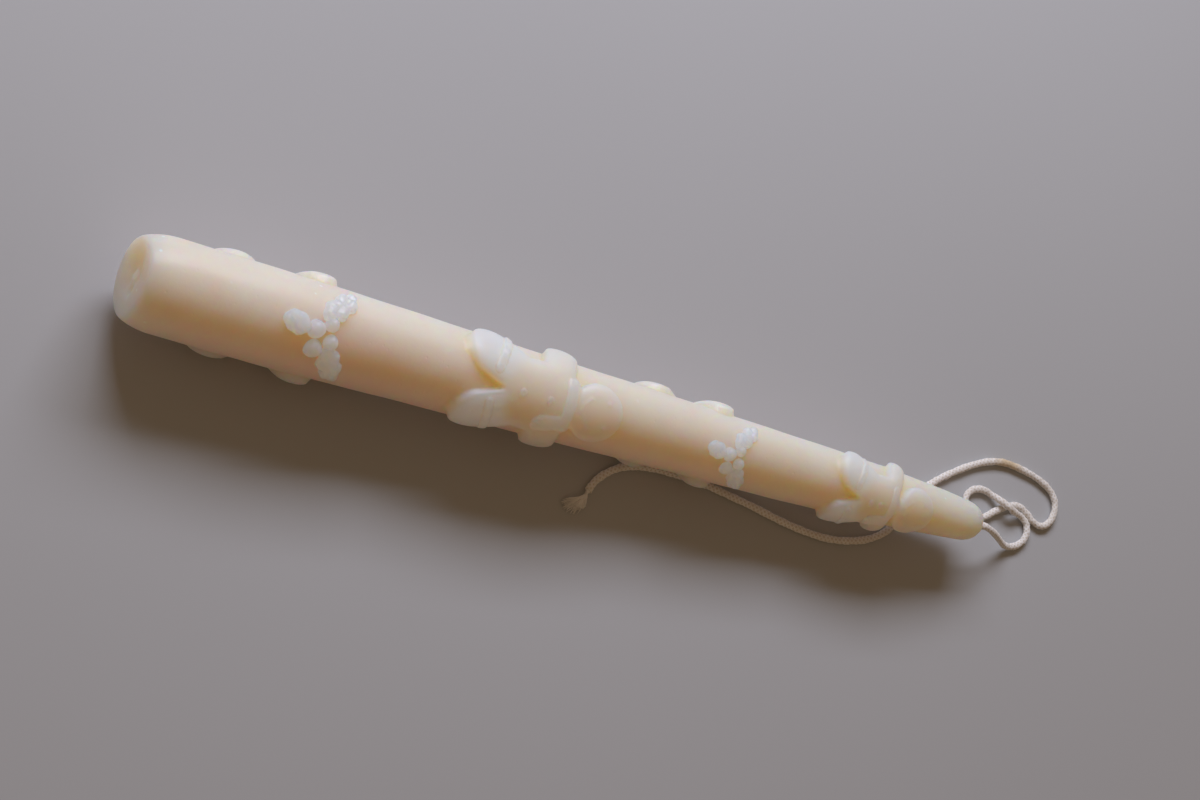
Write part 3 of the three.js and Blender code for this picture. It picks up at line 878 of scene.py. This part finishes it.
def stations(at, x):
    marks = [0.0]
    while marks[-1] < at[-1] - 0.25:
        here = np.interp(marks[-1], at, x)
        in_figure = any(
            f["parts_at"] - 10.5 * f["along"] < here < f["parts_at"] + 35 * f["along"]
            for f in FIGURES.values()
        )
        at_end = here < 4 or here > CANDLE_LENGTH - 6
        step = FINE_STEP if in_figure else (END_STEP if at_end else PLAIN_STEP)
        marks.append(marks[-1] + step)
    return np.array([*marks[:-1], at[-1]])


# %% Shape the hollow in the base end
SLIT_DEPTH = 1.1
WICK_MOUND = 1.1


def over_wick(y, z):
    return np.exp(-((y / 1.7) ** 2) - ((z / 1.3) ** 2))


def dish(y, z):
    angle = np.arctan2(z, y)
    uneven = 1 + 0.06 * np.sin(2 * angle + 0.8) + 0.04 * np.sin(5 * angle)
    distance = np.hypot(y - 1.6, z + 0.3) / (DISH_RADIUS * uneven)
    bowl = DISH_DEPTH * (1 - soft_step(distance) ** 1.4)
    slit = SLIT_DEPTH * np.exp(-(((y + 2.7) / 1.5) ** 2) - (((z - 0.3) / 0.8) ** 2))
    return bowl + slit - WICK_MOUND * over_wick(y, z)


# %% Wrap the skin round the axis
def cast_skin():
    at, profile_x, profile_r = taper_profile()
    marks = stations(at, profile_x)
    x = np.interp(marks, at, profile_x)[1:-1, None]
    r = np.interp(marks, at, profile_r)[1:-1, None]
    angle = np.linspace(-np.pi, np.pi, AROUND, endpoint=False)[None, :]
    relief = raised(x, angle)
    flank = soft_step((x - 2) / 4)
    slow = 0.05 * np.sin(x * 0.09 + 2 * np.sin(angle)) + 0.035 * np.sin(x * 0.31 + angle * 3)
    radius = r + (relief + slow) * flank
    y = r * np.sin(angle)
    z = r * np.cos(angle)
    on_face = soft_step((1.2 - x) / 1.0)
    meniscus = 0.35 * np.exp(-(((r - WICK_RADIUS) / 0.6) ** 2)) * (x > CANDLE_LENGTH - 2)
    lumps = 0.12 * np.sin(y * 1.7 + 1) * np.sin(z * 1.3) * soft_step((x - CANDLE_LENGTH + 4) / 4)
    placed_x = x + on_face * dish(y, z) + meniscus + lumps
    rows = len(x)
    points = in_world(placed_x, radius, angle + 0 * x).reshape(-1, 3)
    first = in_world(float(dish(0.0, 0.0)), 0.0, 0.0)
    last = in_world(CANDLE_LENGTH + 0.2, 0.0, 0.0)
    points = np.vstack([points, first, last])
    index = np.arange(rows * AROUND).reshape(rows, AROUND)
    right = np.roll(index, -1, axis=1)
    quads = np.stack([index[:-1], right[:-1], right[1:], index[1:]], axis=-1).reshape(-1, 4)
    faces = [tuple(q) for q in quads.tolist()]
    low, high = rows * AROUND, rows * AROUND + 1
    faces.extend((low, int(b), int(a)) for a, b in zip(index[0], right[0]))
    faces.extend((high, int(a), int(b)) for a, b in zip(index[-1], right[-1]))
    piece = mesh_object("wax_taper", points, faces)
    in_dish = np.clip(dish(y, z) / DISH_DEPTH, 0, 1)
    # The base face is paler, and paler still where thin wax covers the wick's end. The dish is painted less
    # pale than the rim round it: painted shade in the hollow.
    face_milk_and_dish_shade = on_face * (0.18 - 0.1 * in_dish + 0.5 * over_wick(y, z))
    milk = over_figures(figure_milk_and_rim_light, x, angle) * flank + face_milk_and_dish_shade
    return piece, relief * flank, milk


# %% Paint amber shade into the hollows between raised places
def spread(field, steps_x, steps_angle):
    result = field
    for axis, steps in ((0, steps_x), (1, steps_angle)):
        total = np.zeros_like(result)
        for shift in range(-steps, steps + 1):
            total += np.roll(result, shift, axis=axis)
        result = total / (2 * steps + 1)
    return result


taper, skin_relief, milk = cast_skin()
# Painted shade: wax beside raised places, most of all in the notches between legs and arms, is painted more
# amber where those parts shade it.
hollow_shade = np.clip(spread(skin_relief, 10, 13) - 0.3 - skin_relief, 0, 1)
write_attribute(taper, "hollow_shade", [*hollow_shade.reshape(-1), 0, 0])
write_attribute(taper, "milk", [*milk.reshape(-1), 0, 0])
say(taper, "before the trim is poured in")

# %% [markdown]
# ## Pouring in the trim
#
# Each lump reaches down into the taper. Lumps could lie on it as pieces of their own, but then no light
# passes into them and they turn grey. Boolean unions pour them all into one skin with two finishes. The
# lumps of one union mustn't overlap each other, so the berries follow in a second one.

# %% Make one lump
ROOT_DEPTH = 0.9


def make_lump(trim):
    cell, seat = trim["cell"], trim["seat"]
    xs = np.arange(trim["low"][0] - 2 * cell, trim["high"][0] + 3 * cell, cell)
    ys = np.arange(trim["low"][1] - 2 * cell, trim["high"][1] + 3 * cell, cell)
    grid_x, grid_a = np.meshgrid(xs, ys, indexing="ij")
    depth = trim["depth"](grid_x, grid_a)
    kept = depth > -1.6 * cell
    cells = kept[:-1, :-1] & kept[1:, :-1] & kept[1:, 1:] & kept[:-1, 1:]
    used = np.zeros_like(kept)
    for di in (0, 1):
        for dj in (0, 1):
            used[di:di + cells.shape[0], dj:dj + cells.shape[1]] |= cells
    number = -np.ones(kept.shape, int)
    number[used] = np.arange(used.sum())
    sunk = np.clip(-depth / (1.6 * cell), 0, 1) * 0.35
    top = np.where(depth > 0, trim["height"](depth, grid_x, grid_a), -sunk)
    x, angle = from_drawn(seat, grid_x[used], grid_a[used])
    ground = outer_radius(x) + raised(x, angle)
    upper = in_world(x, ground + top[used], angle)
    lower = in_world(x, ground - ROOT_DEPTH, angle)
    count = int(used.sum())
    faces = []
    edges = set()
    for i, j in zip(*np.nonzero(cells)):
        loop = [int(number[i + di, j + dj]) for di, dj in ((0, 0), (1, 0), (1, 1), (0, 1))]
        faces.append(tuple(loop))
        faces.append(tuple(n + count for n in reversed(loop)))
        edges.update(zip(loop, loop[1:] + loop[:1]))
    for a, b in sorted(edges):
        if (b, a) not in edges:
            faces.append((a, a + count, b + count, b))
    lump = mesh_object(trim["node"] + "_wax", np.vstack([upper, lower]), faces)
    finish = 0 if trim["milk"] == ALL_MILK else 1
    lump.data.polygons.foreach_set("material_index", [finish] * len(lump.data.polygons))
    return lump


# %% Pour lumps into the skin
def pour_in(body, chosen, finishes):
    gathered = bmesh.new()
    milk = []
    for trim in chosen:
        lump = make_lump(trim)
        gathered.from_mesh(lump.data)
        milk.extend([trim["milk"]] * len(lump.data.vertices))
        bpy.data.objects.remove(lump)
    mesh = bpy.data.meshes.new("milky_lumps")
    gathered.to_mesh(mesh)
    gathered.free()
    for finish in finishes:
        mesh.materials.append(finish)
    milky = bpy.data.objects.new("milky_lumps", mesh)
    bpy.context.scene.collection.objects.link(milky)
    write_attribute(milky, "milk", milk)
    union = body.modifiers.new("poured", "BOOLEAN")
    union.operation = "UNION"
    union.solver = "MANIFOLD"
    union.material_mode = "TRANSFER"
    union.object = milky
    bpy.context.view_layer.update()
    shown = body.evaluated_get(bpy.context.evaluated_depsgraph_get())
    result = bpy.data.meshes.new_from_object(shown)
    body.modifiers.clear()
    body.data = result
    result.polygons.foreach_set("use_smooth", [True] * len(result.polygons))
    bpy.data.objects.remove(milky)


# %% [markdown]
# ## The surface of wax
#
# Moulded wax is never quite flat. It has slow swells from cooling, a fine grain from the mould, and
# small pits where bubbles burst. All three are too shallow for the mesh, so they are bumps, and each
# pattern's scale comes from its size in millimetres.

# %% Swells, grain and pits
SWELL_SIZE = 11.1
GRAIN_SIZE = 0.714
PIT_SPACING = 2.38


def wax_surface(tree, scale, strength):
    where = add(tree, "TexCoord").outputs["Object"]
    swells = {"Vector": where, "Scale": repeats(SWELL_SIZE) * scale, "Detail": 3.0}
    broad = add(tree, "TexNoise", swells).outputs["Fac"]
    grains = {"Vector": where, "Scale": repeats(GRAIN_SIZE) * scale, "Detail": 4.0}
    grain = add(tree, "TexNoise", grains).outputs["Fac"]
    holes = {"Vector": where, "Scale": repeats(PIT_SPACING) * scale}
    pits = add(tree, "TexVoronoi", holes).outputs["Distance"]
    pit_depth = add(tree, "MapRange", {"Value": pits, "From Min": 0.05, "From Max": 0.16}).outputs["Result"]
    first = add(tree, "Bump", {"Height": broad, "Strength": 0.25 * strength, "Distance": 0.0012})
    fine = {"Height": grain, "Strength": 0.12 * strength, "Distance": 0.0002}
    second = add(tree, "Bump", {**fine, "Normal": first.outputs["Normal"]})
    pitted = {"Height": pit_depth, "Strength": 0.35 * strength, "Distance": 0.0001}
    third = add(tree, "Bump", {**pitted, "Normal": second.outputs["Normal"]})
    return where, broad, third.outputs["Normal"]


# %% Flecks
FLECK_SPACING = 5.88
FLECK_PATCH = 16.7


def flecks(tree, where):
    spots = add(tree, "TexVoronoi", {"Vector": where, "Scale": repeats(FLECK_SPACING)}).outputs["Distance"]
    speck = add(
        tree, "MapRange",
        {"Value": spots, "From Min": 0.05, "From Max": 0.09, "To Min": 1.0, "To Max": 0.0},
    )
    patches = {"Vector": where, "Scale": repeats(FLECK_PATCH), "Detail": 1.0}
    chosen = add(tree, "TexNoise", patches).outputs["Fac"]
    patch = add(tree, "MapRange", {"Value": chosen, "From Min": 0.52, "From Max": 0.6})
    both = {0: speck.outputs["Result"], 1: patch.outputs["Result"]}
    return add(tree, "Math", both, operation="MULTIPLY").outputs["Value"]


# %% [markdown]
# ## Cream wax, cast in a mould
#
# Wax is lit from inside. Red light travels furthest, so thin and shaded places turn amber while the lit
# side stays pale. A painted amber would stay put when the light moves, so the light really scatters
# under the surface: `CREAM_DEPTH` is its reach in metres, and `CREAM_REACH` shares that out to red,
# green and blue. Cast wax has a soft gloss and an IOR of about 1.44. The mesh's `milk` makes the
# figures' legs paler, paints a paler rim along their outlines as a painted highlight, and leaves the
# base end's dish less pale as painted shade. A second attribute paints amber shade into the wax
# between raised places, most of all in the notches between legs and arms.

# %% Cast cream wax
WAX_IOR = 1.44
CLOUD_SIZE = 18.2
CREAM_DEPTH = 0.042
CREAM_REACH = (0.85, 0.42, 0.17, 1)
MILK_REACH = (1.5, 0.95, 0.7, 1)


def make_cast_wax():
    material, tree, shader = new_material("cast_cream_wax")
    where, broad, normal = wax_surface(tree, 1.0, 1.0)
    cloudy = {"Vector": where, "Scale": repeats(CLOUD_SIZE), "Detail": 5.0, "Roughness": 0.6}
    clouds = {"Fac": add(tree, "TexNoise", cloudy).outputs["Fac"]}
    creams = [(0.3, "#f6decf"), (0.55, "#f8e2d4"), (0.75, "#fae7dc")]
    body = add(tree, "ValToRGB", clouds, stops=creams).outputs["Color"]
    milk = add(tree, "Attribute", attribute_name="milk").outputs["Fac"]
    hollow_shade = add(tree, "Attribute", attribute_name="hollow_shade").outputs["Fac"]
    paler = add(tree, "MixRGB", {"Fac": milk, "Color1": body, "Color2": linear("#fcede3")})
    # Painted shade: more amber is mixed in where raised parts shade the wax.
    painted_shade_share = add(tree, "Math", {0: hollow_shade, 1: 0.6}, operation="MULTIPLY").outputs["Value"]
    shaded_mix = {"Fac": painted_shade_share, "Color1": paler.outputs["Color"], "Color2": linear("#f3deba")}
    shaded_colour = add(tree, "MixRGB", shaded_mix).outputs["Color"]
    white = {"Fac": flecks(tree, where), "Color1": shaded_colour, "Color2": linear("#fff4ec")}
    flecked = add(tree, "MixRGB", white)
    tree.links.new(flecked.outputs["Color"], shader.inputs["Base Color"])
    reach = add(tree, "MixRGB", {"Fac": milk, "Color1": CREAM_REACH, "Color2": MILK_REACH})
    tree.links.new(reach.outputs["Color"], shader.inputs["Subsurface Radius"])
    gloss = add(tree, "MapRange", {"Value": broad, "To Min": 0.33, "To Max": 0.5}).outputs["Result"]
    tree.links.new(gloss, shader.inputs["Roughness"])
    tree.links.new(normal, shader.inputs["Normal"])
    shader.inputs["Subsurface Weight"].default_value = 1.0
    shader.inputs["Subsurface Scale"].default_value = CREAM_DEPTH
    shader.inputs["IOR"].default_value = WAX_IOR
    return material


# %% [markdown]
# ## Milky wax, poured by hand
#
# Leaves and berries are a paler wax with more air in it. It is cloudy: less of its light turns amber,
# so it looks nearly white beside the cream wax, even in the shade. It is smoother than the cast wax, and
# a thin bloom on it shows as a little sheen.

# %% Milky poured wax
MILKY_DEPTH = 0.062


def make_milky_wax():
    material, tree, shader = new_material("milky_poured_wax")
    _, broad, normal = wax_surface(tree, 1.3, 0.8)
    whites = [(0.3, "#fcf1e8"), (0.7, "#fff6ee")]
    colour = add(tree, "ValToRGB", {"Fac": broad}, stops=whites).outputs["Color"]
    tree.links.new(colour, shader.inputs["Base Color"])
    gloss = add(tree, "MapRange", {"Value": broad, "To Min": 0.22, "To Max": 0.36}).outputs["Result"]
    tree.links.new(gloss, shader.inputs["Roughness"])
    tree.links.new(normal, shader.inputs["Normal"])
    shader.inputs["Subsurface Weight"].default_value = 1.0
    shader.inputs["Subsurface Radius"].default_value = (1.0, 0.64, 0.4)
    shader.inputs["Subsurface Scale"].default_value = MILKY_DEPTH
    shader.inputs["Sheen Weight"].default_value = 0.35
    shader.inputs["Sheen Roughness"].default_value = 0.6
    shader.inputs["IOR"].default_value = WAX_IOR
    return material


# %% [markdown]
# ## Bleached cotton, plaited
#
# Cotton yarn is matt and a little fuzzy, which the sheen gives. The plait's valleys are painted darker,
# as painted shade, and one stretch of the wick is stained by wax. Cotton fibres are 0.02 mm thick, too
# fine to show here, so the bump draws them about ten times as coarse.

# %% Cotton
THREAD_SIZE = 0.192
PATCH_SIZE = 3.85
STAINED_AT = 119.0


def make_cotton(name, stain_and_valley_shade, sheen):
    material, tree, shader = new_material(name)
    where = add(tree, "TexCoord").outputs["Object"]
    thready = {"Vector": where, "Scale": repeats(THREAD_SIZE), "Detail": 3.0}
    threads = add(tree, "TexNoise", thready).outputs["Fac"]
    patchy = {"Vector": where, "Scale": repeats(PATCH_SIZE), "Detail": 4.0}
    patches = {"Fac": add(tree, "TexNoise", patchy).outputs["Fac"]}
    colour = add(tree, "ValToRGB", patches, stops=[(0.35, "#f6f2ec"), (0.65, "#fffdfb")]).outputs["Color"]
    if stain_and_valley_shade:
        plait = add(tree, "Attribute", attribute_name="plait").outputs["Fac"]
        # Painted shade: the plait's valleys are mixed towards a darker cotton colour.
        shade = add(tree, "MapRange", {"Value": plait, "From Min": 0.2, "From Max": 0.7}).outputs["Result"]
        valley_shaded = add(tree, "MixRGB", {"Fac": shade, "Color1": linear("#e2d8c9"), "Color2": colour})
        way = add(tree, "Attribute", attribute_name="distance").outputs["Fac"]
        centre = add(tree, "Math", {0: way, 1: STAINED_AT}, operation="SUBTRACT").outputs["Value"]
        size = add(tree, "Math", {0: centre}, operation="ABSOLUTE").outputs["Value"]
        stain = add(
            tree, "MapRange",
            {"Value": size, "From Min": 2.0, "From Max": 6.0, "To Min": 0.75, "To Max": 0.0},
        ).outputs["Result"]
        colour = add(
            tree, "MixRGB",
            {"Fac": stain, "Color1": valley_shaded.outputs["Color"], "Color2": linear("#d8bd8e")},
        ).outputs["Color"]
    tree.links.new(colour, shader.inputs["Base Color"])
    bump = add(tree, "Bump", {"Height": threads, "Strength": 0.5, "Distance": 0.0001})
    tree.links.new(bump.outputs["Normal"], shader.inputs["Normal"])
    shader.inputs["Roughness"].default_value = 0.95
    shader.inputs["Sheen Weight"].default_value = sheen
    shader.inputs["Sheen Roughness"].default_value = 0.5
    return material


# %% Put the finishes on
cast_wax = make_cast_wax()
milky_wax = make_milky_wax()
plaited_cotton = make_cotton("plaited_cotton", True, 0.3)
loose_cotton = make_cotton("loose_cotton_yarn", False, 0.9)

taper.data.materials.append(cast_wax)
for berries in (False, True):
    chosen = [trim for trim in trims if ("berry" in trim["node"]) == berries]
    pour_in(taper, chosen, [milky_wax, cast_wax])
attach(taper, "root")
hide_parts("taper_body", *FIGURES, *(trim["node"] for trim in trims))
say(taper, f"with {len(trims)} milky pieces poured in")

for piece, finish in (
    (wick_free, plaited_cotton),
    (wick_core, plaited_cotton),
    (frayed_end, loose_cotton),
    (fibres, loose_cotton),
):
    piece.data.materials.append(finish)
    print(piece.name, "is", finish.name)

# %% [markdown]
# ## Floor and light
#
# The photograph's one long, soft shadow comes from a wide window at the far side, so one wide lamp
# stands there: more lamps would give more shadows. A dim, warm world fills the shadow. The floor is
# plain and pale, and just dark enough that the candle stands out from it as it did.

# %% Lay the floor
FLOOR_PATCH = 333


def make_floor():
    corners = [(-2, -2, 0), (2, -2, 0), (2, 2, 0), (-2, 2, 0)]
    floor = mesh_object("floor", corners, [(0, 1, 2, 3)], smooth=False)
    material, tree, shader = new_material("pale_floor")
    where = add(tree, "TexCoord").outputs["Object"]
    patchy = {"Vector": where, "Scale": repeats(FLOOR_PATCH), "Detail": 2.0}
    patches = {"Fac": add(tree, "TexNoise", patchy).outputs["Fac"]}
    colour = add(tree, "ValToRGB", patches, stops=[(0.3, "#bdbebf"), (0.7, "#c1c2c3")]).outputs["Color"]
    tree.links.new(colour, shader.inputs["Base Color"])
    shader.inputs["Roughness"].default_value = 0.7
    floor.data.materials.append(material)


# %% Light the candle
WINDOW_PLACE = (-0.1, 0.6, 0.485)
WINDOW_WIDTH = 0.7
WINDOW_HEIGHT = 0.26
WINDOW_WATTS = 5.4
SURROUND_STRENGTH = 0.168


def soft_light(name, place, width, height, energy, colour):
    data = bpy.data.lights.new(name, "AREA")
    data.shape = "RECTANGLE"
    data.size = width
    data.size_y = height
    data.energy = energy
    data.color = linear(colour)[:3]
    lamp = bpy.data.objects.new(name, data)
    bpy.context.scene.collection.objects.link(lamp)
    spot = Vector(place)
    lamp.matrix_world = Matrix.Translation(spot) @ spot.to_track_quat("Z", "Y").to_matrix().to_4x4()


make_floor()
soft_light("window", WINDOW_PLACE, WINDOW_WIDTH, WINDOW_HEIGHT, WINDOW_WATTS, "#ebefff")

world = bpy.data.worlds.new("studio")
bpy.context.scene.world = world
world.use_nodes = True
background = world.node_tree.nodes["Background"]
background.inputs["Color"].default_value = linear("#ffd8ac")
background.inputs["Strength"].default_value = SURROUND_STRENGTH
bpy.context.scene.view_settings.view_transform = "Standard"
print("one window lamp,", WINDOW_WIDTH, "m wide, and a dim surround")
